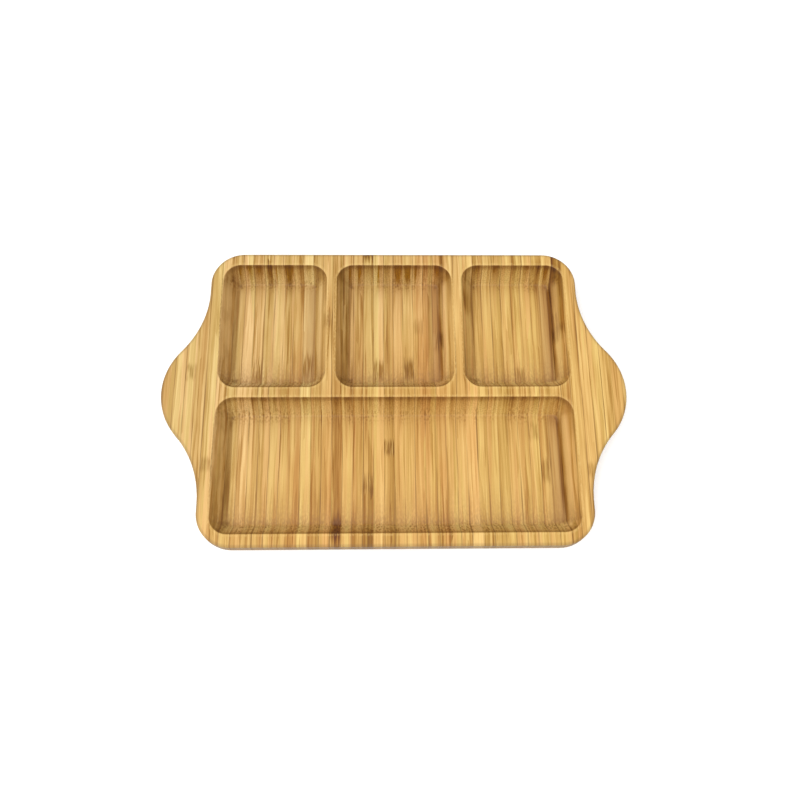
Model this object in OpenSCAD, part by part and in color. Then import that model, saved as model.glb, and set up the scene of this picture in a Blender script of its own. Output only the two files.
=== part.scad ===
// Divided serving plate: bamboo strips glued side by side, then carved as one board.
// Millimetres. Origin under the middle of the board, Z up, front of the plate towards -Y.

/* [Board] */
// Width of the body between the two grips
body_w = 270; // [240:1:310]
// Depth of the body from front to back
body_d = 220; // [208:1:260]
// Thickness of the board
board_t = 20; // [16:0.5:28]
// Corner radius of the body in plan
corner_r = 24; // [16:0.5:30]
// Rounding of the upper outer edge
top_edge_r = 1.2; // [0.4:0.1:3]
// Rounding under the board, where the fingers reach below it
under_edge_r = 11; // [4:0.5:12.5]

/* [Grips] */
// How far each grip reaches past the body
grip_reach = 30; // [20:0.5:36]
// Radius of the hollow curve where a grip leaves the body
grip_root_r = 72; // [50:0.5:88]
// Radius of the round tip of a grip
grip_tip_r = 47.5; // [36:0.5:62]

/* [Compartments] */
// Width of the rim all round the compartments
rim_w = 9; // [6:0.1:14]
// Thickness of the cross wall between the two rows, at its top
cross_wall_w = 7.6; // [5:0.1:12]
// Thickness of the two walls in the back row, at their tops
row_wall_w = 7.3; // [5:0.1:12]
// Width of the middle compartment of the back row
middle_w = 85; // [60:0.5:110]
// Depth of the back row from front to back
back_row_d = 97.2; // [70:0.1:120]
// Corner radius of every compartment at the rim
pocket_corner_r = 12.5; // [11:0.5:24]
// Wood left under the compartments
floor_t = 4.5; // [3:0.1:8]
// How far a compartment wall leans in from the rim to the floor
wall_run = 8.5; // [4:0.1:10]
// Rounding of the rim's inner edges
rim_edge_r = 1.2; // [0.4:0.1:2.5]
// Rounding where a compartment wall meets its floor
foot_r = 2.5; // [0.5:0.1:4]

/* [Strips] */
// Thickness of one bamboo strip
strip_w = 7.4; // [6:0.1:12]
// Place of the glue line nearest to the middle
strip_shift = -0.7; // [-3:0.1:3]
// Thinnest strip that is left at the tip of a grip
least_strip = 2.5; // [2:0.1:5]
// Number of the darkest strip, counted from the glue line nearest to the middle
dark_strip = -6; // [-12:1:11]

/* [Hidden] */
$fn = 180;
// Length by which a cut runs past the surface that it opens
over = 1;

half_w = body_w / 2;
half_length = half_w + grip_reach;
pocket_h = board_t - floor_t;

// Lean of the compartment walls, and how far their roundings run along a straight side
wall_lean = atan2(pocket_h, wall_run);
rim_round_run = rim_edge_r * tan(wall_lean / 2);
foot_round_run = foot_r * tan(wall_lean / 2);

// A grip's root and tip curves touch on the line between their centres
grip_tip_x = half_length - grip_tip_r;
grip_root_x = half_w + grip_root_r;
grip_root_y = sqrt(2 * (grip_root_r + grip_tip_r) * grip_reach - grip_reach * grip_reach);
grip_turn = atan2(grip_root_y, grip_root_x - grip_tip_x);
// Depth to which a grip is set into the body, past the body's own rounded edge
grip_inset = under_edge_r + corner_r;

// Angle by which the two halves of a grip's tip lap over each other
tip_overlap = 5;

// Compartments as [middle x, middle y, width, depth] at the rim
inner_w = body_w - 2 * rim_w;
side_w = (inner_w - middle_w) / 2 - row_wall_w;
side_x = (inner_w - side_w) / 2;
back_y = body_d / 2 - rim_w - back_row_d / 2;
front_row_d = body_d - 2 * rim_w - cross_wall_w - back_row_d;
front_y = front_row_d / 2 + rim_w - body_d / 2;
compartments = [
    [-side_x, back_y, side_w, back_row_d],
    [0, back_y, middle_w, back_row_d],
    [side_x, back_y, side_w, back_row_d],
    [0, front_y, inner_w, front_row_d],
];

// Strip numbers run from left to right, and strip 0 starts at the glue line nearest the middle
first_strip = -ceil((half_length + strip_shift - least_strip) / strip_w);
last_strip = ceil((half_length - strip_shift - least_strip) / strip_w) - 1;
first_body_strip = ceil((-half_w - strip_shift) / strip_w - 0.5);
last_body_strip = floor((half_w - strip_shift) / strip_w - 0.5);
strip_numbers = [for (k = [first_strip : last_strip]) k];

function strip_start(k) = k == first_strip ? -half_length - over : strip_shift + k * strip_w;
function strip_end(k) = k == last_strip ? half_length + over : strip_shift + (k + 1) * strip_w;
function two_digits(n) = str(n < 10 ? "0" : "", n);
function strip_name(k) =
    k < first_body_strip ? str("left_grip_strip_", first_body_strip - k)
    : k > last_body_strip ? str("right_grip_strip_", k - last_body_strip)
    : str("body_strip_", two_digits(k - first_body_strip + 1));

// Honey tones of the strips, dealt out in a mixed order, and the tone of the dark strip
strip_tones = [[0.89, 0.73, 0.46], [0.83, 0.64, 0.37], [0.86, 0.69, 0.42], [0.78, 0.58, 0.32]];
dark_tone = [0.58, 0.37, 0.2];
function strip_tone(k) =
    k == dark_strip ? dark_tone : strip_tones[(k * (k + 1) / 2) % len(strip_tones)];

// Edge of the board in section, from an axis at 0 out to radius r
module board_edge(r) {
    difference() {
        square([r, board_t]);
        difference() {
            translate([r - under_edge_r, -over]) square(under_edge_r + over);
            translate([r - under_edge_r, under_edge_r]) circle(under_edge_r);
        }
        difference() {
            translate([r - top_edge_r, board_t - top_edge_r]) square(top_edge_r + over);
            translate([r - top_edge_r, board_t - top_edge_r]) circle(top_edge_r);
        }
    }
}

// Section of the hollow at a grip's root, whose edges round over the wood beside it
module root_hollow() {
    translate([0, -over]) square([grip_root_r, board_t + 2 * over]);
    difference() {
        translate([0, -over]) square([grip_root_r + under_edge_r, under_edge_r + over]);
        translate([grip_root_r + under_edge_r, under_edge_r]) circle(under_edge_r);
    }
    difference() {
        translate([0, board_t - top_edge_r]) square([grip_root_r + top_edge_r, top_edge_r + over]);
        translate([grip_root_r + top_edge_r, board_t - top_edge_r]) circle(top_edge_r);
    }
}

// Section of a compartment's hollow, from the axis of its corner out to the rim
module pocket_edge() {
    slope = [cos(wall_lean), sin(wall_lean)];
    rim = [pocket_corner_r, board_t];
    foot = rim - [wall_run, pocket_h];
    floor_end = foot - [foot_round_run, 0];
    slope_end = foot + foot_round_run * slope;
    polygon([[0, floor_t], floor_end, slope_end, rim, rim + [0, over], [0, board_t + over]]);
    intersection() {
        translate(floor_end + [0, foot_r]) circle(foot_r);
        square([pocket_corner_r, board_t]);
    }
    difference() {
        polygon([
            rim - rim_round_run * slope,
            rim + [rim_round_run, 0],
            rim + [rim_round_run, over],
            rim + [0, over],
        ]);
        translate(rim + [rim_round_run, -rim_edge_r]) circle(rim_edge_r);
    }
}

// Draws its children only if they reach, between two places along X, the strip being made
module near_strip(low, high) {
    if (low < strip_end($strip) && high > strip_start($strip)) children();
}

// Full section across a block, with the edge section given as its child on both sides
module bar_section(w, r, low, high) {
    for (side = [0, 1])
        mirror([side, 0])
            translate([w / 2 - r, 0])
                children();
    translate([r - w / 2, low]) square([w - 2 * r, high - low]);
}

// One end of a block: a straight side between two round corners
module block_end(straight_d) {
    rotate([90, 0, 0])
        linear_extrude(straight_d, center = true)
            children();
    for (corner = [0, 1])
        mirror([0, corner, 0])
            translate([0, straight_d / 2, 0])
                rotate_extrude(angle = 90)
                    children();
}

// Block with round corners in plan, and the edge section given as its child all round
module rounded_block(x, y, w, d, r, low, high) {
    reach = w / 2 - r;
    end_reach = w / 2 + rim_edge_r;
    translate([x, y, 0]) {
        near_strip(x - reach, x + reach)
            rotate([90, 0, 90])
                linear_extrude(2 * reach, center = true)
                    bar_section(d, r, low, high) children();
        near_strip(x + reach, x + end_reach)
            translate([reach, 0, 0])
                block_end(d - 2 * r) children();
        near_strip(x - end_reach, x - reach)
            mirror([1, 0, 0])
                translate([reach, 0, 0])
                    block_end(d - 2 * r) children();
    }
}

module body_block() {
    rounded_block(0, 0, body_w, body_d, corner_r, 0, board_t) board_edge(corner_r);
}

// Back half of the right-hand grip: a web beside the root hollow, and the round tip beyond it.
// It is drawn from the tip's centre, with the line to the root's centre along X.
module grip_half() {
    root_away = grip_root_r + grip_tip_r;
    inner_x = half_w - grip_inset - grip_tip_x;
    turned = [[cos(grip_turn), sin(grip_turn)], [-sin(grip_turn), cos(grip_turn)]];
    translate([grip_tip_x, 0, 0])
        rotate(grip_turn) {
            difference() {
                linear_extrude(board_t)
                    polygon([
                        [0, 0],
                        [root_away, 0],
                        turned * [inner_x, grip_root_y],
                        turned * [inner_x, -over],
                        turned * [0, -over],
                    ]);
                translate([root_away, 0, 0])
                    rotate_extrude()
                        root_hollow();
            }
            mirror([0, 1, 0])
                rotate_extrude(angle = grip_turn + tip_overlap)
                    board_edge(grip_tip_r);
        }
}

module grip() {
    near_strip(half_w - grip_inset, half_length)
        for (half = [0, 1])
            mirror([0, half, 0]) grip_half();
    near_strip(-half_length, grip_inset - half_w)
        for (half = [0, 1])
            mirror([1, 0, 0])
                mirror([0, half, 0]) grip_half();
}

module compartment(c) {
    rounded_block(c[0], c[1], c[2], c[3], pocket_corner_r, floor_t, board_t + over) pocket_edge();
}

// The carved board, as far as it reaches the strip being made
module carved_board() {
    difference() {
        union() {
            body_block();
            grip();
        }
        for (c = compartments)
            compartment(c);
    }
}

module strip(k) {
    $strip = k;
    color(strip_tone(k))
        intersection() {
            translate([strip_start(k), -body_d / 2 - over, -over])
                cube([strip_end(k) - strip_start(k), body_d + 2 * over, board_t + 2 * over]);
            carved_board();
        }
}

for (k = strip_numbers)
    strip(k);
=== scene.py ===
"""Looks of a divided bamboo plate: a lofted mesh for each strip, one grain material, a pale studio.

Shapes are worked out in millimetres, as in the part's own source. Everything in the scene is in metres.
"""
import math
import random

import bmesh
import bpy
import numpy as np
from mathutils import Matrix, Vector


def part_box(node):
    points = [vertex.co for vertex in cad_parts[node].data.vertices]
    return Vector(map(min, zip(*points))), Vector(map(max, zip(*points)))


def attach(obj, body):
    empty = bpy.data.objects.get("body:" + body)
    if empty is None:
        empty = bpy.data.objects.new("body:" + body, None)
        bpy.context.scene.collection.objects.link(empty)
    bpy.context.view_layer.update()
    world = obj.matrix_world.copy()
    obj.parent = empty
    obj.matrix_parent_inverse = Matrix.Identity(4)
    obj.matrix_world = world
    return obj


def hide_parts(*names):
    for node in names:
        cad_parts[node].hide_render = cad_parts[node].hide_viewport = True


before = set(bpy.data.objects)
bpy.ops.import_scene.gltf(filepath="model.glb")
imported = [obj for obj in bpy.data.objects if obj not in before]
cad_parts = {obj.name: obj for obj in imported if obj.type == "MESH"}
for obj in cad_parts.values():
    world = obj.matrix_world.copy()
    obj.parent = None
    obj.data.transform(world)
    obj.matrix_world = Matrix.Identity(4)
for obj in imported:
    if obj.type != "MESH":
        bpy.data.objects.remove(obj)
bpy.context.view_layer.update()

MM = 0.001

# Board
BODY_W = 270.0
BODY_D = 220.0
BOARD_T = 20.0
CORNER_R = 24.0
TOP_EDGE_R = 1.2
UNDER_EDGE_R = 11.0

# Grips
GRIP_REACH = 30.0
GRIP_ROOT_R = 72.0
GRIP_TIP_R = 47.5

# Compartments
RIM_W = 9.0
CROSS_WALL_W = 7.6
ROW_WALL_W = 7.3
MIDDLE_W = 85.0
BACK_ROW_D = 97.2
POCKET_CORNER_R = 12.5
FLOOR_T = 4.5
WALL_RUN = 8.5
RIM_EDGE_R = 1.2
FOOT_R = 2.5

# Strips
STRIP_W = 7.4
STRIP_SHIFT = -0.7

# Places that follow from the sizes above
HALF_W = BODY_W / 2
HALF_D = BODY_D / 2
CORNER_X = HALF_W - CORNER_R
CORNER_Y = HALF_D - CORNER_R
HALF_LENGTH = HALF_W + GRIP_REACH
TIP_X = HALF_LENGTH - GRIP_TIP_R
ROOT_X = HALF_W + GRIP_ROOT_R
ROOT_Y = math.sqrt(2 * (GRIP_ROOT_R + GRIP_TIP_R) * GRIP_REACH - GRIP_REACH ** 2)
GRIP_TURN = math.atan2(ROOT_Y, ROOT_X - TIP_X)
POCKET_H = BOARD_T - FLOOR_T
WALL_LEAN = math.atan2(POCKET_H, WALL_RUN)
RIM_ROUND_RUN = RIM_EDGE_R * math.tan(WALL_LEAN / 2)
FOOT_ROUND_RUN = FOOT_R * math.tan(WALL_LEAN / 2)
SLOPE_START = RIM_ROUND_RUN * math.cos(WALL_LEAN)
SLOPE_END = WALL_RUN - FOOT_ROUND_RUN * math.cos(WALL_LEAN)
FLOOR_START = WALL_RUN + FOOT_ROUND_RUN

# Compartments as (middle x, middle y, width, depth) at the rim
INNER_W = BODY_W - 2 * RIM_W
SIDE_W = (INNER_W - MIDDLE_W) / 2 - ROW_WALL_W
SIDE_X = (INNER_W - SIDE_W) / 2
BACK_Y = HALF_D - RIM_W - BACK_ROW_D / 2
FRONT_ROW_D = BODY_D - 2 * RIM_W - CROSS_WALL_W - BACK_ROW_D
FRONT_Y = FRONT_ROW_D / 2 + RIM_W - HALF_D
FRONT_POCKET = (0.0, FRONT_Y, INNER_W, FRONT_ROW_D)
BACK_POCKETS = [
    (-SIDE_X, BACK_Y, SIDE_W, BACK_ROW_D),
    (0.0, BACK_Y, MIDDLE_W, BACK_ROW_D),
    (SIDE_X, BACK_Y, SIDE_W, BACK_ROW_D),
]
POCKETS = [FRONT_POCKET] + BACK_POCKETS
# How dark a compartment's far wall (oil and painted shade), the line at its left foot and the line at
# its right foot (painted shade in the creases) are; the left one also sets the painted shade on
# left-hand walls
POCKET_SHADE_AND_OIL = [(0.4, 0.8, 0.95), (0.9, 0.65, 0.25), (0.86, 0.7, 0.7), (0.68, 0.42, 1.0)]
# Distance from the middle beyond which a section across the board meets no compartment
SOLID_X = INNER_W / 2 + RIM_ROUND_RUN


# Shape of the board

def edge_distance(x, y):
    """How far points lie inside the board's outline, right for every point near the outline."""
    x, y = np.abs(x), np.abs(y)
    corner = CORNER_R - np.hypot(x - CORNER_X, y - CORNER_Y)
    above_seam = math.cos(GRIP_TURN) * y - math.sin(GRIP_TURN) * (x - TIP_X) > 0
    root = np.hypot(x - ROOT_X, y - ROOT_Y) - GRIP_ROOT_R
    tip = GRIP_TIP_R - np.hypot(x - TIP_X, y)
    side = np.where(y >= ROOT_Y, HALF_W - x, np.where(above_seam, root, tip))
    beside = np.where((x > CORNER_X) & (y > CORNER_Y), corner, side)
    return np.where(x <= CORNER_X, np.minimum(HALF_D - y, side), beside)


def pocket_inset(pocket, x, y):
    """How far points lie inside a compartment's rim, negative outside it."""
    middle_x, middle_y, width, depth = pocket
    across = np.abs(x - middle_x) - (width / 2 - POCKET_CORNER_R)
    along = np.abs(y - middle_y) - (depth / 2 - POCKET_CORNER_R)
    corner = np.hypot(np.maximum(across, 0), np.maximum(along, 0))
    return POCKET_CORNER_R - corner - np.minimum(np.maximum(across, along), 0)


def wall_height(inset):
    """Height of the surface at a distance inside a compartment's rim."""
    rim_drop = np.clip(RIM_EDGE_R ** 2 - (inset + RIM_ROUND_RUN) ** 2, 0, None)
    rim = BOARD_T - RIM_EDGE_R + np.sqrt(rim_drop)
    slope = BOARD_T - inset * math.tan(WALL_LEAN)
    foot_rise = np.clip(FOOT_R ** 2 - (FLOOR_START - inset) ** 2, 0, None)
    foot = FLOOR_T + FOOT_R - np.sqrt(foot_rise)
    bands = [inset <= -RIM_ROUND_RUN, inset <= SLOPE_START, inset <= SLOPE_END, inset <= FLOOR_START]
    return np.select(bands, [np.full_like(inset, BOARD_T), rim, slope, foot], FLOOR_T)


def top_height(x, y):
    """Height of the board's upper surface."""
    missing = np.clip(TOP_EDGE_R - edge_distance(x, y), 0, TOP_EDGE_R)
    height = BOARD_T - TOP_EDGE_R + np.sqrt(TOP_EDGE_R ** 2 - missing ** 2)
    for pocket in POCKETS:
        height = np.minimum(height, wall_height(pocket_inset(pocket, x, y)))
    return height


def under_height(x, y):
    """Height of the board's lower surface."""
    missing = np.clip(UNDER_EDGE_R - edge_distance(x, y), 0, UNDER_EDGE_R)
    return UNDER_EDGE_R - np.sqrt(UNDER_EDGE_R ** 2 - missing ** 2)


def outline_y(x, inset):
    """Half depth of the outline at x, with the outline moved in by inset."""
    x = abs(x)
    if x <= CORNER_X:
        return HALF_D - inset
    if inset < HALF_W - x:
        return CORNER_Y + math.sqrt(max((CORNER_R - inset) ** 2 - (x - CORNER_X) ** 2, 0))
    if x < TIP_X + (GRIP_TIP_R - inset) * math.cos(GRIP_TURN):
        return ROOT_Y - math.sqrt(max((GRIP_ROOT_R + inset) ** 2 - (ROOT_X - x) ** 2, 0))
    return math.sqrt(max((GRIP_TIP_R - inset) ** 2 - (x - TIP_X) ** 2, 0))


def pocket_half_depth(pocket, x, inset):
    """Half depth of a compartment at x, at a distance inside its rim."""
    middle_x, _, width, depth = pocket
    across = max(abs(x - middle_x) - (width / 2 - POCKET_CORNER_R), 0)
    reach = max((POCKET_CORNER_R - inset) ** 2 - across ** 2, 0)
    return depth / 2 - POCKET_CORNER_R + math.sqrt(reach)


# Sections across the board

def round_steps(radius, count):
    """Distances from an edge that follow its rounding in even turns."""
    return [radius * (1 - math.cos(math.pi / 2 * k / count)) for k in range(count + 1)]


# Distances from a compartment's rim, and from the outline, at which a section has points
RIM_STEPS = list(np.linspace(-RIM_ROUND_RUN, SLOPE_START, 6))
SLOPE_STEPS = list(np.linspace(SLOPE_START, SLOPE_END, 9))[1:-1]
FOOT_STEPS = list(np.linspace(SLOPE_END, FLOOR_START, 6))
WALL_STEPS = RIM_STEPS + SLOPE_STEPS + FOOT_STEPS
TOP_STEPS = round_steps(TOP_EDGE_R, 5)
UNDER_STEPS = round_steps(UNDER_EDGE_R, 12)
# Numbers of points between those, on a rim, a floor, the underside and the outer side
RIM_POINTS = 4
FLOOR_POINTS = 26
UNDER_POINTS = 20
LIP_POINTS = 5
# Usual and least distance between the sections of a strip, away from the step to a grip
SECTION_STEP = 1.2
LEAST_STEP = 0.06
# Degrees between the sections at a round corner
CORNER_TURN = 9
# Distances past the body's side where the first sections of a grip lie
GRIP_STEPS = (0.0, 0.3, 1.0)
# Distance that keeps a place just to one side of a step
HAIR = 0.0001
# Depth below which the end of a strip is a point, with no face
LEAST_FACE = 0.01
# Distance in metres below which points are one, and degrees from which an edge is sharp
MERGE_DISTANCE = 1e-6
SHARP_TURN = 40


def between(start, end, count):
    """Evenly spaced values strictly between two others."""
    return [start + (end - start) * k / (count + 1) for k in range(1, count + 1)]


def edge_places(x, steps):
    """Places from the outline inwards at x, with the ends of the straight stretch beside a grip."""
    places = [outline_y(x, step) for step in steps]
    bends = [min(max(bend, places[-1]), places[0]) for bend in (CORNER_Y, ROOT_Y)]
    return sorted(places + bends, reverse=True)


def pocket_places(pocket, x):
    """Places across a compartment at x, from its front rim to its back rim."""
    half = [pocket_half_depth(pocket, x, step) for step in WALL_STEPS]
    front = [pocket[1] - h for h in half]
    back = [pocket[1] + h for h in reversed(half)]
    return front + between(front[-1], back[0], FLOOR_POINTS) + back


def inner_places(x):
    """Places across the upper surface at x, between its rounded edges."""
    back_pocket = min(BACK_POCKETS, key=lambda pocket: abs(x - pocket[0]) - pocket[2] / 2)
    front = pocket_places(FRONT_POCKET, x)
    back = pocket_places(back_pocket, x)
    edge = outline_y(x, TOP_EDGE_R)
    return (
        between(-edge, front[0], RIM_POINTS) + front
        + between(front[-1], back[0], RIM_POINTS) + back
        + between(back[-1], edge, RIM_POINTS)
    )


def upper_places(x):
    """Places across the upper surface at x. Beyond the compartments they close up with the outline."""
    edge = edge_places(x, TOP_STEPS)
    if abs(x) <= SOLID_X:
        inner = inner_places(x)
    else:
        share = outline_y(x, TOP_EDGE_R) / outline_y(SOLID_X, TOP_EDGE_R)
        inner = [share * y for y in inner_places(math.copysign(SOLID_X, x))]
    return [-y for y in edge] + inner + edge[::-1]


def section(x):
    """Closed loop of points around the board at x, from the front edge over the top and back below."""
    upper = np.array(upper_places(x))
    edge = edge_places(x, UNDER_STEPS)
    under = np.array(edge + between(edge[-1], -edge[-1], UNDER_POINTS) + [-y for y in edge[::-1]])
    upper_z = top_height(np.full_like(upper, x), upper)
    under_z = under_height(np.full_like(under, x), under)
    back_lip = between(upper_z[-1], under_z[0], LIP_POINTS)
    front_lip = between(under_z[-1], upper_z[0], LIP_POINTS)
    y = np.concatenate([upper, [upper[-1]] * LIP_POINTS, under, [upper[0]] * LIP_POINTS])
    z = np.concatenate([upper_z, back_lip, under_z, front_lip])
    return np.stack([np.full_like(y, x), y, z], axis=1)


def feature_places():
    """Places along the board where its sections change quickly."""
    places = []
    turns = [math.radians(turn) for turn in range(0, 91, CORNER_TURN)]
    for middle_x, _, width, _ in POCKETS:
        for side in (-1, 1):
            places += [middle_x + side * (width / 2 - step) for step in WALL_STEPS]
            axis = width / 2 - POCKET_CORNER_R
            places += [middle_x + side * (axis + POCKET_CORNER_R * math.sin(turn)) for turn in turns]
    for side in (-1, 1):
        places += [side * (CORNER_X + (CORNER_R - HAIR) * math.sin(turn)) for turn in turns]
        places += [side * (HALF_W - step) for step in TOP_STEPS[1:] + UNDER_STEPS[1:]]
        places += [side * (HALF_W + HAIR + step) for step in GRIP_STEPS]
        places += [side * (TIP_X + GRIP_TIP_R * math.cos(turn / 3)) for turn in turns]
        places += [side * (HALF_LENGTH - step) for step in TOP_STEPS[1:] + UNDER_STEPS[1:]]
    return sorted(places)


FEATURES = feature_places()


def stations(start, end):
    """Places of the sections that a strip between start and end is lofted through."""
    steps = max(round((end - start) / SECTION_STEP), 1)
    wanted = between(start, end, steps - 1) + [x for x in FEATURES if start < x < end]
    chosen = [start]
    for x in sorted(wanted):
        beside_step = abs(abs(x) - HALF_W) < 2 * HAIR
        if (x - chosen[-1] > LEAST_STEP and end - x > LEAST_STEP) or beside_step:
            chosen.append(x)
    return chosen + [end]


def loft(name, start, end):
    """Mesh of one strip: its sections joined by quads, closed by its two glued faces."""
    loops = [section(x) for x in stations(start, end)]
    count = len(loops[0])
    points = np.concatenate(loops) * MM
    faces = []
    for row in range(len(loops) - 1):
        for k in range(count):
            here, there = row * count + k, row * count + (k + 1) % count
            faces.append((here, there, there + count, here + count))
    for row in (0, len(loops) - 1):
        if np.ptp(loops[row][:, 1]) > LEAST_FACE:
            faces.append(tuple(range(row * count, (row + 1) * count)))
    mesh = bpy.data.meshes.new(name)
    mesh.from_pydata(points.tolist(), [], faces)
    shape = bmesh.new()
    shape.from_mesh(mesh)
    bmesh.ops.remove_doubles(shape, verts=shape.verts, dist=MERGE_DISTANCE)
    bmesh.ops.recalc_face_normals(shape, faces=shape.faces)
    shape.to_mesh(mesh)
    shape.free()
    mesh.shade_smooth()
    mesh.set_sharp_from_angle(angle=math.radians(SHARP_TURN))
    return mesh


# Marks that set single strips apart. Strips are counted from the glue line nearest to the middle.
# Tone in front of a strip's knuckle and behind it, from pale to dark
TONES = {
    -16: (0.7, 0.4), -14: (0.3, 0.3), -12: (-0.6, -0.6), -7: (0.9, 0.5), -6: (1.6, 0.6), -5: (0.0, 0.6),
    -3: (1.7, 0.5), -1: (1.3, 0.5), 1: (-0.6, -0.5), 2: (0.4, 0.0), 3: (0.6, -0.4), 4: (0.5, 1.1),
    7: (-1.2, -1.4), 13: (-0.4, -0.5), 16: (0.3, 1.9),
}
# Place along the strip, half length and strength of a knuckle, where the culm had a joint.
# A knuckle of no strength only marks where the tone turns.
KNUCKLES = {
    -20: (15.5, 8.0, 0.6), -18: (-53.0, 7.0, 0.5), -14: (21.6, 12.0, 0.95), -9: (25.5, 13.0, 1.0),
    -7: (57.0, 9.0, 0.5), -6: (-2.0, 8.0, 0.0), -5: (2.0, 8.0, 0.0), -3: (-63.0, 10.0, 0.55),
    -2: (21.0, 12.0, 0.9), -1: (-37.0, 8.0, 0.9), 1: (22.5, 12.0, 0.95), 2: (57.6, 9.0, 0.35),
    4: (46.0, 11.0, 0.9), 12: (18.6, 8.0, 0.6), 13: (-24.4, 9.0, 0.5), 14: (-54.0, 12.0, 0.6),
    16: (49.0, 9.0, 0.6), 18: (-58.0, 7.0, 0.5),
}
# Place along the strip, half length and strength of a dark stained stretch
STAINS = {
    -6: (-95.5, 15.0, 0.9), -3: (112.0, 9.0, 1.0), 7: (75.0, 15.0, 0.9), 14: (96.0, 16.0, 0.45),
    15: (-12.0, 14.0, 0.6), 16: (70.0, 34.0, 0.35),
}
# A mark of no strength, past the end of every strip
UNMARKED = (1000.0, 1.0, 0.0)
# Strips that lean to pink
PINK_STRIPS = (-10, -7, 2, 3, 4, 7)
# Number from which the chances of the strips are seeded, and span of the shifts of their grain
FIRST_SEED = 1000
SEED_SPAN = 50


def strip_number(start, end):
    """Number of the strip between two places, counted from the glue line nearest to the middle."""
    return math.floor(((start + end) / 2 - STRIP_SHIFT) / STRIP_W)


def put_vectors(mesh, name, values):
    """Stores one vector per vertex under a name that the material reads."""
    layer = mesh.attributes.new(name, "FLOAT_VECTOR", "POINT")
    layer.data.foreach_set("vector", np.asarray(values, np.float32).ravel())


def put_walls(mesh, x, y):
    """Stores where each point lies in the compartment that is nearest to it."""
    insets = np.stack([pocket_inset(pocket, x, y) for pocket in POCKETS])
    nearest = insets.argmax(axis=0)
    middle_x, middle_y, width, depth = np.array(POCKETS)[nearest].T
    across = np.clip(np.abs(x - middle_x) - (width / 2 - POCKET_CORNER_R), 0, None)
    along = np.clip(np.abs(y - middle_y) - (depth / 2 - POCKET_CORNER_R), 0, None)
    away = np.maximum(np.hypot(across, along), HAIR)
    toward_x = -np.sign(x - middle_x) * across / away
    toward_y = -np.sign(y - middle_y) * along / away
    put_vectors(mesh, "wall", np.stack([toward_x, toward_y, insets.max(axis=0)], axis=1))
    far = middle_y + depth / 2 - y
    near = y - middle_y + depth / 2
    right = middle_x + width / 2 - x
    put_vectors(mesh, "walls_away", np.stack([far, near, right], axis=1))
    # Strengths of oil and painted shade on the walls of the nearest compartment
    put_vectors(mesh, "wear", np.array(POCKET_SHADE_AND_OIL)[nearest])


def add_strip(name, material):
    """Makes the mesh that stands for one strip, with what its material reads."""
    low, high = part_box(name)
    start, end = round(low.x / MM, 2), round(high.x / MM, 2)
    number = strip_number(start, end)
    mesh = loft(name + "_wood", start, end)
    points = np.zeros(len(mesh.vertices) * 3)
    mesh.vertices.foreach_get("co", points)
    points = points.reshape(-1, 3) / MM
    chance = random.Random(FIRST_SEED + number)
    tone = chance.uniform(-1, 1)
    front_tone, back_tone = TONES.get(number, (tone, tone))
    seed = chance.uniform(0, SEED_SPAN)
    pink = 1.0 if number in PINK_STRIPS else chance.uniform(-1, 0.5)
    across = (points[:, 0] - STRIP_SHIFT) / STRIP_W - number
    edge = edge_distance(points[:, 0], points[:, 1])
    same = np.ones(len(points))
    put_vectors(mesh, "strip_look", np.outer(same, (front_tone, back_tone, seed)))
    put_vectors(mesh, "strip_place", np.stack([across, edge, pink * same], axis=1))
    put_vectors(mesh, "knuckle", np.outer(same, KNUCKLES.get(number, UNMARKED)))
    put_vectors(mesh, "stain", np.outer(same, STAINS.get(number, UNMARKED)))
    put_walls(mesh, points[:, 0], points[:, 1])
    mesh.materials.append(material)
    piece = bpy.data.objects.new(name + "_wood", mesh)
    bpy.context.scene.collection.objects.link(piece)
    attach(piece, "root")
    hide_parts(name)


# Bamboo

def linear(red, green, blue):
    """Colour for a shader from screen values of 0 to 255."""
    def one(value):
        share = value / 255
        return share / 12.92 if share <= 0.04045 else ((share + 0.055) / 1.055) ** 2.4
    return (one(red), one(green), one(blue), 1.0)


# Shares of red, green and blue that stay where wood leans to a hue
YELLOW_LEAN = (0.96, 1.0, 0.88, 1.0)
PINK_LEAN = (1.0, 0.94, 0.92, 1.0)
GOLDEN_LEAN = (0.94, 0.84, 0.62, 1.0)
# Hue that painted shade in creases, corners and under rims leans to; on far walls and outer sides it
# also stands for oil in cut fibres
SHADE_AND_OIL_LEAN = (0.38, 0.24, 0.01, 1.0)
KNUCKLE_LEAN = (0.4, 0.28, 0.01, 1.0)

# Colours of the wood from pale to dark, and colours that marks, wear, painted shade and painted light
# turn it to
WOOD_TONES = [
    (0.0, linear(235, 209, 152)),
    (0.3, linear(215, 181, 122)),
    (0.55, linear(189, 151, 88)),
    (0.8, linear(152, 108, 38)),
    (1.0, linear(100, 56, 10)),
]
GLUE = linear(128, 88, 36)
PALE_STROKE = linear(222, 188, 120)
BUNDLE = linear(112, 76, 32)
# Painted shade on near walls and on the floor beside them
NEAR_WALL_SHADE = linear(140, 98, 58)
# Golden painted shade on the upper part of left-hand walls
UPPER_LEFT_SHADE = linear(150, 114, 44)
# Browner painted shade on the lower part of left-hand walls
LOWER_LEFT_SHADE = linear(140, 96, 56)
UPPER_RIGHT = linear(160, 120, 48)
# Painted light on the lower part of right-hand walls
LOWER_RIGHT_LIGHT = linear(232, 196, 142)
# Painted shade on the floor beside right-hand walls
RIGHT_FLOOR_SHADE = linear(146, 104, 60)
# Darker outer side: partly oil, partly painted shade where the side turns under
OUTER_SIDE_OIL_AND_SHADE = linear(98, 76, 42)
# Painted highlight along the rims of the compartments
RIM_HIGHLIGHT = linear(228, 196, 126)

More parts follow.
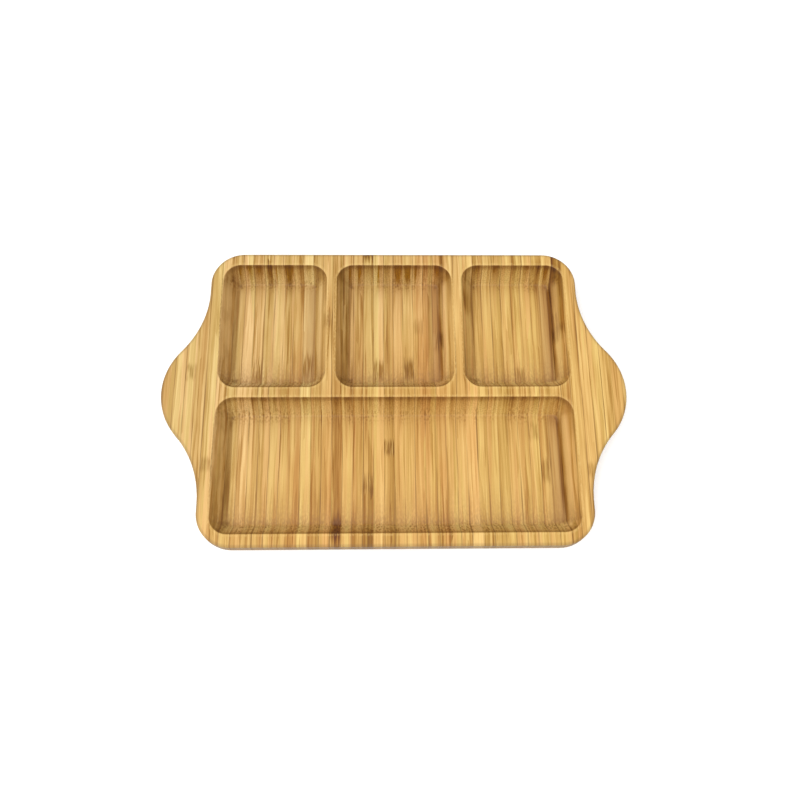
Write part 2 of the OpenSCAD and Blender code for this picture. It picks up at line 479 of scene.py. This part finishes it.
# Width and length of the layers of the grain, and how far each layer is shifted from strip to strip
STREAKS = (0.9, 60.0, 7.3)
FINE_STREAKS = (0.3, 22.0, 11.9)
BROAD_FIBRES = (2.6, 150.0, 3.1)
NARROW_FIBRES = (1.3, 70.0, 9.3)
THREADS = (0.9, 34.0, 5.7)
HUE_FIBRES = (3.7, 170.0, 13.7)
TUFT_FIBRES = (4.0, 70.0, 8.9)
STROKES = (0.8, 18.0, 5.3)
GLUE_STRETCHES = (STRIP_W, 60.0, 2.3)

# Numbers of the colour sockets of a mix node
MIX_FIRST = 6
MIX_SECOND = 7
MIX_RESULT = 2


class Graph:
    """Adds nodes to a material and joins them."""

    def __init__(self, material):
        self.nodes = material.node_tree.nodes
        self.links = material.node_tree.links

    def feed(self, socket, source):
        """Links a socket to another one, or sets it to a plain value."""
        if isinstance(source, bpy.types.NodeSocket):
            self.links.new(source, socket)
        else:
            socket.default_value = source

    def math(self, operation, *values):
        node = self.nodes.new("ShaderNodeMath")
        node.operation = operation
        for socket, value in zip(node.inputs, values):
            self.feed(socket, value)
        return node.outputs[0]

    def times(self, first, *others):
        for other in others:
            first = self.math("MULTIPLY", first, other)
        return first

    def total(self, first, *others):
        for other in others:
            first = self.math("ADD", first, other)
        return first

    def less(self, first, second):
        return self.math("SUBTRACT", first, second)

    def over(self, first, second):
        return self.math("DIVIDE", first, second)

    def size(self, value):
        return self.math("ABSOLUTE", value)

    def swing(self, value, strength):
        """A value of 0 to 1 as a swing to both sides of nothing."""
        return self.times(self.less(value, 0.5), strength)

    def fade(self, distance, length):
        """1 up to a distance of nothing, and from there on less and less."""
        return self.math("EXPONENT", self.over(self.math("MAXIMUM", distance, 0.0), -length))

    def rise(self, value, low, high, start=0.0, end=1.0):
        """Eases from start to end while value goes from low to high."""
        node = self.nodes.new("ShaderNodeMapRange")
        node.interpolation_type = "SMOOTHSTEP"
        for name, source in (("Value", value), ("From Min", low), ("From Max", high),
                             ("To Min", start), ("To Max", end)):
            self.feed(node.inputs[name], source)
        return node.outputs[0]

    def fall(self, value, low, high):
        """Eases from 1 to 0 while value goes from low to high."""
        return self.rise(value, low, high, 1.0, 0.0)

    def parts(self, vector):
        node = self.nodes.new("ShaderNodeSeparateXYZ")
        self.feed(node.inputs[0], vector)
        return node.outputs

    def vector(self, x, y, z):
        node = self.nodes.new("ShaderNodeCombineXYZ")
        for socket, value in zip(node.inputs, (x, y, z)):
            self.feed(socket, value)
        return node.outputs[0]

    def stored(self, name):
        """The three parts of a vector that the mesh stores."""
        node = self.nodes.new("ShaderNodeAttribute")
        node.attribute_name = name
        return self.parts(node.outputs["Vector"])

    def noise(self, x, y, z):
        """Soft noise of 0 to 1, with one wave for each step of its place."""
        node = self.nodes.new("ShaderNodeTexNoise")
        node.inputs["Scale"].default_value = 1.0
        self.feed(node.inputs["Vector"], self.vector(x, y, z))
        return node.outputs["Fac"]

    def net(self, x, y):
        """An uneven net of cells."""
        node = self.nodes.new("ShaderNodeTexVoronoi")
        node.voronoi_dimensions = "2D"
        node.inputs["Scale"].default_value = 1.0
        self.feed(node.inputs["Vector"], self.vector(x, y, 0.0))
        return node

    def cell_value(self, x, y):
        """A value of 0 to 1 for each cell of a net."""
        return self.parts(self.net(x, y).outputs["Color"])[0]

    def cell_distance(self, x, y):
        """How far points lie from the middles of the cells of a net."""
        return self.net(x, y).outputs["Distance"]

    def ramp(self, value, stops):
        """Colour that goes from stop to stop with a value."""
        node = self.nodes.new("ShaderNodeValToRGB")
        elements = node.color_ramp.elements
        while len(elements) < len(stops):
            elements.new(1.0)
        for element, (place, shade) in zip(elements, stops):
            element.position = place
            element.color = shade
        self.feed(node.inputs[0], value)
        return node.outputs["Color"]

    def mix(self, share, first, second, blend="MIX"):
        node = self.nodes.new("ShaderNodeMix")
        node.data_type = "RGBA"
        node.blend_type = blend
        self.feed(node.inputs[0], share)
        self.feed(node.inputs[MIX_FIRST], first)
        self.feed(node.inputs[MIX_SECOND], second)
        return node.outputs[MIX_RESULT]

    def lean(self, share, shade, hue):
        """Takes a share of a colour away, so that it leans to a hue."""
        return self.mix(share, shade, hue, "MULTIPLY")


class Bamboo(Graph):
    """Oiled bamboo: fibres along the strips, tones that change from strip to strip, marks and wear, with
    painted shade and highlights in the compartments.
    """

    def __init__(self, material):
        super().__init__(material)
        # Place on the board in millimetres, and what the strips store
        place = self.nodes.new("ShaderNodeTexCoord").outputs["Object"]
        self.x, self.y, self.z = (self.over(part, MM) for part in self.parts(place))
        self.front_tone, self.back_tone, self.seed = self.stored("strip_look")
        self.across, self.edge, self.pink = self.stored("strip_place")
        self.knuckle_y, self.knuckle_reach, self.knuckle = self.stored("knuckle")
        self.stain_y, self.stain_reach, self.stain = self.stored("stain")
        self.toward_x, self.toward_y, self.inset = self.stored("wall")
        self.far, self.near, self.right = self.stored("walls_away")
        # Strengths of oil and painted shade on far walls, and of painted shade at left and right feet
        self.far_wear, self.left_wear, self.right_shade = self.stored("wear")
        # Noises that several looks share, and distances that they make uneven
        self.streaks = self.drawn_out(*STREAKS)
        self.fine = self.drawn_out(*FINE_STREAKS)
        self.drift = self.noise(self.over(self.x, 9.0), self.over(self.y, 45.0), self.seed)
        self.specks = self.noise(self.x, self.over(self.y, 2.6), self.over(self.z, 2.0))
        self.uneven = self.total(self.swing(self.streaks, 5.0), self.swing(self.specks, 4.0))
        self.ragged_y = self.total(self.y, self.swing(self.streaks, 24.0))
        self.wander = self.total(self.inset, self.swing(self.streaks, 1.6), self.swing(self.drift, 0.8))
        self.from_middle = self.size(self.less(self.across, 0.5))
        # Shares of 0 to 1 that pick out parts of a compartment
        self.inside = self.rise(self.inset, -0.3, 0.4)
        self.end_wall = self.rise(self.size(self.toward_y), 0.3, 0.9)
        # Painted shade on left-hand walls, as strong as the compartment's left foot line
        self.shaded_left = self.times(self.rise(self.toward_x, 0.2, 0.9), self.left_wear)
        self.on_right = self.rise(self.times(self.toward_x, -1.0), 0.2, 0.9)
        self.upper = self.times(self.inside, self.fall(self.wander, 3.0, 5.5))
        self.lower = self.times(self.rise(self.wander, 2.5, 4.5), self.fall(self.wander, 6.0, 8.0))
        clear_of_near = self.rise(self.near, 3.0, 30.0, 0.4, 1.0)
        self.clear_of_ends = self.times(self.rise(self.far, 6.0, 16.0), clear_of_near)

    def sideways(self, width, shift):
        """Place across the strips in steps of a width, other for each strip."""
        return self.total(self.over(self.x, width), self.times(self.seed, shift))

    def drawn_out(self, width, length, shift):
        """Noise drawn out along the strips."""
        across = self.sideways(width, shift)
        return self.noise(across, self.over(self.y, length), self.over(self.z, 8 * width))

    def fibres(self, width, length, shift):
        """A value for each fibre of about the given width and length. Fibres have pointed ends."""
        bend = self.swing(self.noise(self.over(self.x, 20.0), self.over(self.y, 30.0), self.seed), 0.8)
        return self.cell_value(self.total(self.sideways(width, shift), bend), self.over(self.y, length))

    def grain(self):
        """Pale and dark fibres, which are calmer on the floors and towards the left-hand grip."""
        threads = self.rise(self.fibres(*THREADS), 0.84, 0.88)
        grain = self.total(
            self.swing(self.fibres(*BROAD_FIBRES), 0.26),
            self.swing(self.fibres(*NARROW_FIBRES), 0.3),
            self.swing(self.streaks, 0.3),
            self.swing(self.fine, 0.3),
            self.swing(self.drift, 0.4),
            self.times(threads, 0.19),
        )
        on_floor = self.rise(self.inset, 6.0, 10.0, 1.0, 0.8)
        at_left = self.rise(self.x, -150.0, -115.0, 0.65)
        return self.times(grain, on_floor, at_left)

    def strip_tone(self):
        """Tone of a strip, which turns at its knuckle."""
        from_joint = self.less(self.ragged_y, self.knuckle_y)
        change = self.less(self.back_tone, self.front_tone)
        return self.total(self.front_tone, self.times(change, self.rise(from_joint, -3.0, 3.0)))

    def stained(self):
        """Strength of the stain on a strip."""
        from_stain = self.size(self.less(self.ragged_y, self.stain_y))
        return self.times(self.fall(self.over(from_stain, self.stain_reach), 0.15, 1.0), self.stain)

    def plain_wood(self):
        """Colour of the wood before cuts and marks, with painted light on the lower parts of end walls
        and of right-hand walls.
        """
        # Painted light: the lower parts of end walls are made paler, towards the brightness of the floor
        lower_wall = self.times(self.rise(self.inset, 1.5, 6.5), self.fall(self.inset, 7.0, 9.4))
        painted_wall_light = self.rise(self.toward_y, -0.5, 0.5, -0.16, -0.3)
        depth = self.total(
            0.39,
            self.times(self.strip_tone(), 0.14),
            self.grain(),
            self.times(self.stained(), 0.42),
            self.times(self.end_wall, lower_wall, painted_wall_light),
            # Painted light on the lower part of right-hand walls
            self.times(self.lower, self.on_right, self.clear_of_ends, -0.24),
            self.times(self.inside, -0.03),
        )
        wood = self.ramp(depth, WOOD_TONES)
        hues = self.ramp(self.fibres(*HUE_FIBRES), [(0.0, YELLOW_LEAN), (1.0, PINK_LEAN)])
        wood = self.lean(1.0, wood, hues)
        pinkness = self.times(self.rise(self.pink, 0.0, 1.0), self.rise(self.drift, 0.3, 0.6))
        wood = self.lean(pinkness, wood, PINK_LEAN)
        golden = self.rise(self.less(self.x, self.y), -160.0, 40.0)
        return self.lean(golden, wood, GOLDEN_LEAN)

    def with_glue_lines(self, wood):
        """Thin dark lines between strips, which come and go along them."""
        from_edge = self.less(0.5, self.from_middle)
        seen = self.rise(self.drawn_out(*GLUE_STRETCHES), 0.4, 0.65, 0.05, 0.8)
        return self.mix(self.times(self.fall(from_edge, 0.03, 0.1), seen), wood, GLUE)

    def with_knuckles(self, wood):
        """Clusters of short dark and pale strokes where the culm had a joint."""
        away = self.over(self.less(self.y, self.knuckle_y), self.knuckle_reach)
        spread = self.total(self.size(away), self.swing(self.streaks, 1.0))
        here = self.times(self.fall(spread, 0.3, 1.0), self.knuckle)
        strokes = self.drawn_out(*STROKES)
        dark = self.times(here, self.rise(strokes, 0.38, 0.56, 0.12, 1.0))
        pale = self.times(here, self.fall(strokes, 0.32, 0.44), 0.4)
        return self.lean(dark, self.mix(pale, wood, PALE_STROKE), KNUCKLE_LEAN)

    def with_end_grain(self, wood):
        """Bundles of fibres show as dots where a face cuts across them."""
        facing = self.parts(self.nodes.new("ShaderNodeNewGeometry").outputs["Normal"])[1]
        from_bundle = self.cell_distance(self.over(self.x, 0.9), self.over(self.z, 0.9))
        bundles = self.fall(from_bundle, 0.12, 0.4)
        cut = self.rise(self.size(facing), 0.4, 0.85, 0.0, 0.4)
        return self.mix(self.times(cut, bundles), wood, BUNDLE)

    def with_far_walls(self, wood):
        """Cut fibres on the far walls take the oil and turn dark in tufts; painted shade darkens them
        most at the rim and carries onto the floor in front.
        """
        from_tuft = self.total(self.from_middle, self.swing(self.streaks, 0.3))
        tufts = self.times(self.rise(self.fibres(*TUFT_FIBRES), 0.1, 0.9, 0.4, 1.45),
                           self.rise(from_tuft, 0.1, 0.5, 1.4, 0.4))
        at_rim = self.times(self.fade(self.total(self.far, self.uneven), 7.5), tufts, self.far_wear)
        # Painted shade on the floor in front of the far wall and at its foot
        from_foot = self.less(self.far, 9.0)
        on_floor = self.times(self.fade(from_foot, 15.0), self.far_wear, 0.22)
        at_foot = self.times(self.fade(from_foot, 5.0), self.rise(from_foot, -1.5, 0.5), 0.1)
        oil_and_shade = self.total(at_rim, on_floor, at_foot)
        return self.lean(self.times(oil_and_shade, self.inside), wood, SHADE_AND_OIL_LEAN)

    def with_dotted_feet(self, wood):
        """Cut fibres show as dots at the feet of the far and near walls."""
        dots = self.fall(self.cell_distance(self.over(self.x, 1.8), self.over(self.y, 2.4)), 0.15, 0.5)
        far_foot = self.times(self.rise(self.far, 2.0, 8.0, 0.0, 0.6), self.fall(self.far, 9.0, 18.0))
        near_wall = self.times(self.rise(self.near, 0.5, 2.5), self.fall(self.near, 6.0, 13.0))
        feet = self.times(self.total(far_foot, near_wall), self.inside)
        dotted = self.times(dots, feet, self.rise(self.drift, 0.4, 0.6, 0.1, 0.75))
        return self.lean(dotted, wood, SHADE_AND_OIL_LEAN)

    def with_near_wall_shade(self, wood):
        """Painted shade: near walls and the floor beside them are unevenly browned, broken up by specks.
        """
        near_shade = self.times(self.fade(self.total(self.less(self.near, 10.0), self.uneven), 11.0),
                             self.rise(self.near, 6.5, 10.5, 0.12, 0.4),
                             self.rise(self.specks, 0.3, 0.7, 0.4, 1.6))
        return self.mix(self.times(near_shade, self.inside), wood, NEAR_WALL_SHADE)

    def with_corner_shade(self, wood):
        """Painted shade: corners at the far walls and at the left of the near walls are dark."""
        far_corner = self.times(self.rise(self.size(self.toward_x), 0.1, 0.6),
                                self.fall(self.toward_y, -0.6, -0.1))
        near_corner = self.times(self.rise(self.toward_x, 0.1, 0.6), self.rise(self.toward_y, 0.1, 0.6))
        corners = self.total(self.times(far_corner, self.far_wear, 0.45), self.times(near_corner, 0.36))
        return self.lean(self.times(corners, self.inside), wood, SHADE_AND_OIL_LEAN)

    def with_rim_shadow_lines(self, wood):
        """Painted shadow: a dark line just inside the rim, on walls across the strips and at the far end
        of right walls.
        """
        rim_line = self.fall(self.total(self.inset, self.swing(self.streaks, 2.0)), 0.6, 2.6)
        right_end = self.times(self.on_right, self.fall(self.far, 18.0, 40.0), 0.8)
        cut = self.times(rim_line, self.inside, self.math("MAXIMUM", self.end_wall, right_end))
        return self.lean(self.times(cut, 0.55), wood, SHADE_AND_OIL_LEAN)

    def with_side_walls(self, wood):
        """Walls along the strips are golden above. Left ones are darker with painted shade, browner
        below; right ones are paler below with painted light.
        """
        wood = self.mix(self.times(self.upper, self.shaded_left, 0.24), wood, UPPER_LEFT_SHADE)
        wood = self.mix(self.times(self.lower, self.shaded_left, 0.14), wood, LOWER_LEFT_SHADE)
        wood = self.mix(self.times(self.upper, self.on_right, 0.12), wood, UPPER_RIGHT)
        right_light = self.times(self.lower, self.on_right, self.clear_of_ends, 0.22)
        return self.mix(right_light, wood, LOWER_RIGHT_LIGHT)

    def with_right_floor_shade(self, wood):
        """Painted shade: floors are browner beside a right-hand wall."""
        from_right = self.total(self.right, self.swing(self.streaks, 6.0))
        beside = self.times(self.fall(from_right, 12.0, 21.0), 0.5)
        return self.mix(self.times(beside, self.rise(self.inset, 8.0, 9.5)), wood, RIGHT_FLOOR_SHADE)

    def with_patches(self, wood):
        """Dark patches on the left-hand walls."""
        patches = self.noise(self.over(self.x, 2.5), self.over(self.y, 14.0), self.seed)
        left_wall = self.times(self.shaded_left, self.inside, self.fall(self.inset, 8.0, 9.5))
        patched = self.times(left_wall, self.rise(patches, 0.42, 0.7, 0.0, 0.36))
        return self.lean(patched, wood, SHADE_AND_OIL_LEAN)

    def with_foot_lines(self, wood):
        """Painted shade: dark lines in the creases at the feet of walls along the strips."""
        foot_top = self.rise(self.toward_x, -0.5, 0.5, 4.6, 6.4)
        foot = self.times(self.rise(self.wander, foot_top, 8.9), self.fall(self.wander, 9.4, 10.8))
        line = self.total(self.shaded_left, self.times(self.on_right, self.right_shade))
        line = self.times(line, self.rise(self.drift, 0.35, 0.6, 0.75, 1.1))
        return self.lean(self.times(foot, line, self.clear_of_ends), wood, SHADE_AND_OIL_LEAN)

    def with_outer_side(self, wood):
        """The outer side is darker than the top, partly from oil and partly as painted shade where it
        turns under, and so is the edge above it.
        """
        below = self.times(self.fall(self.z, BOARD_T - 1.4, BOARD_T - 0.2), self.less(1.0, self.inside))
        along_edge = self.times(self.fall(self.edge, 0.6, 2.6), 0.36)
        oil_and_shade = self.math("MAXIMUM", self.times(below, 0.68), along_edge)
        return self.mix(oil_and_shade, wood, OUTER_SIDE_OIL_AND_SHADE)

    def with_rim_highlights(self, wood):
        """Painted highlight: a pale line on the rims along the edge of a compartment."""
        highlighted = self.times(self.rise(self.inset, -2.4, -1.0), self.fall(self.inset, -0.4, 0.2))
        seen = self.rise(self.specks, 0.4, 0.65, 0.05, 0.3)
        return self.mix(self.times(highlighted, seen), wood, RIM_HIGHLIGHT)

    def colour(self):
        """Colour of the wood with all its marks, painted shade and painted highlights, each laid over
        the ones before it.
        """
        wood = self.plain_wood()
        looks = (
            self.with_glue_lines, self.with_knuckles, self.with_end_grain,
            self.with_far_walls, self.with_dotted_feet, self.with_near_wall_shade,
            self.with_corner_shade, self.with_rim_shadow_lines, self.with_side_walls,
            self.with_right_floor_shade, self.with_patches, self.with_foot_lines,
            self.with_outer_side, self.with_rim_highlights,
        )
        for look in looks:
            wood = look(wood)
        return wood


def bamboo():
    """Material of all strips."""
    material = bpy.data.materials.new("bamboo")
    material.use_nodes = True
    graph = Bamboo(material)
    shader = graph.nodes["Principled BSDF"]
    graph.feed(shader.inputs["Base Color"], graph.colour())
    shader.inputs["IOR"].default_value = 1.46
    shader.inputs["Specular IOR Level"].default_value = 0.35
    graph.feed(shader.inputs["Roughness"], graph.rise(graph.streaks, 0.2, 0.8, 0.62, 0.46))
    bump = graph.nodes.new("ShaderNodeBump")
    bump.inputs["Strength"].default_value = 0.25
    bump.inputs["Distance"].default_value = 0.25 * MM
    graph.feed(bump.inputs["Height"], graph.total(graph.streaks, graph.fine))
    graph.feed(shader.inputs["Normal"], bump.outputs[0])
    return material


wood = bamboo()
for strip_name in sorted(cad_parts):
    add_strip(strip_name, wood)


# Studio, in metres

WHITE = (1.0, 1.0, 1.0, 1.0)
FLOOR_HALF = 20.0
FLOOR_SHADE = (0.93, 0.93, 0.93, 1.0)
FLOOR_GLOW = 0.2
LIGHT_SIZE = 1.6
KEY_PLACE = (-0.75, -0.5, 1.55)
KEY_POWER = 22.5
FILL_PLACE = (0.4, -0.8, 1.6)
FILL_POWER = 9.0
SKY_STRENGTH = 0.66


def add_floor():
    """A plain pale floor that the plate lies on."""
    mesh = bpy.data.meshes.new("floor")
    half = FLOOR_HALF
    corners = [(-half, -half, 0), (half, -half, 0), (half, half, 0), (-half, half, 0)]
    mesh.from_pydata(corners, [], [(0, 1, 2, 3)])
    material = bpy.data.materials.new("floor_white")
    material.use_nodes = True
    shader = material.node_tree.nodes["Principled BSDF"]
    shader.inputs["Base Color"].default_value = FLOOR_SHADE
    shader.inputs["Roughness"].default_value = 0.9
    shader.inputs["Emission Color"].default_value = WHITE
    shader.inputs["Emission Strength"].default_value = FLOOR_GLOW
    mesh.materials.append(material)
    floor = bpy.data.objects.new("floor", mesh)
    bpy.context.scene.collection.objects.link(floor)


def add_light(name, place, power):
    """A square soft light that faces the plate."""
    data = bpy.data.lights.new(name, "AREA")
    data.size = LIGHT_SIZE
    data.energy = power
    lamp = bpy.data.objects.new(name, data)
    lamp.location = place
    lamp.rotation_euler = (-Vector(place)).to_track_quat("-Z", "Y").to_euler()
    bpy.context.scene.collection.objects.link(lamp)


def add_camera():
    """A camera at the photograph's place, turned a little and rolled a little."""
    elevation = math.radians(70.0)
    yaw = 0.07736
    roll = 0.06998
    target = Vector((3.26, -6.32, BOARD_T)) * MM
    distance = 620.1 * MM
    ahead = Vector((math.sin(yaw) * math.cos(elevation), math.cos(yaw) * math.cos(elevation),
                    -math.sin(elevation)))
    right = Vector((math.cos(yaw), -math.sin(yaw), 0.0))
    up = right.cross(ahead)
    turned_right = math.cos(roll) * right + math.sin(roll) * up
    turned_up = -math.sin(roll) * right + math.cos(roll) * up
    data = bpy.data.cameras.new("camera")
    data.sensor_width = 36.0
    data.lens = 39.533
    data.clip_start = 0.01
    camera = bpy.data.objects.new("camera", data)
    axes = Matrix((turned_right, turned_up, -ahead)).transposed().to_4x4()
    camera.matrix_world = Matrix.Translation(target - distance * ahead) @ axes
    bpy.context.scene.collection.objects.link(camera)
    bpy.context.scene.camera = camera


add_floor()
add_light("key", KEY_PLACE, KEY_POWER)
add_light("fill", FILL_PLACE, FILL_POWER)
add_camera()

world = bpy.data.worlds.new("studio")
bpy.context.scene.world = world
world.use_nodes = True
sky = world.node_tree.nodes["Background"]
sky.inputs["Color"].default_value = WHITE
sky.inputs["Strength"].default_value = SKY_STRENGTH
bpy.context.scene.view_settings.view_transform = "Standard"
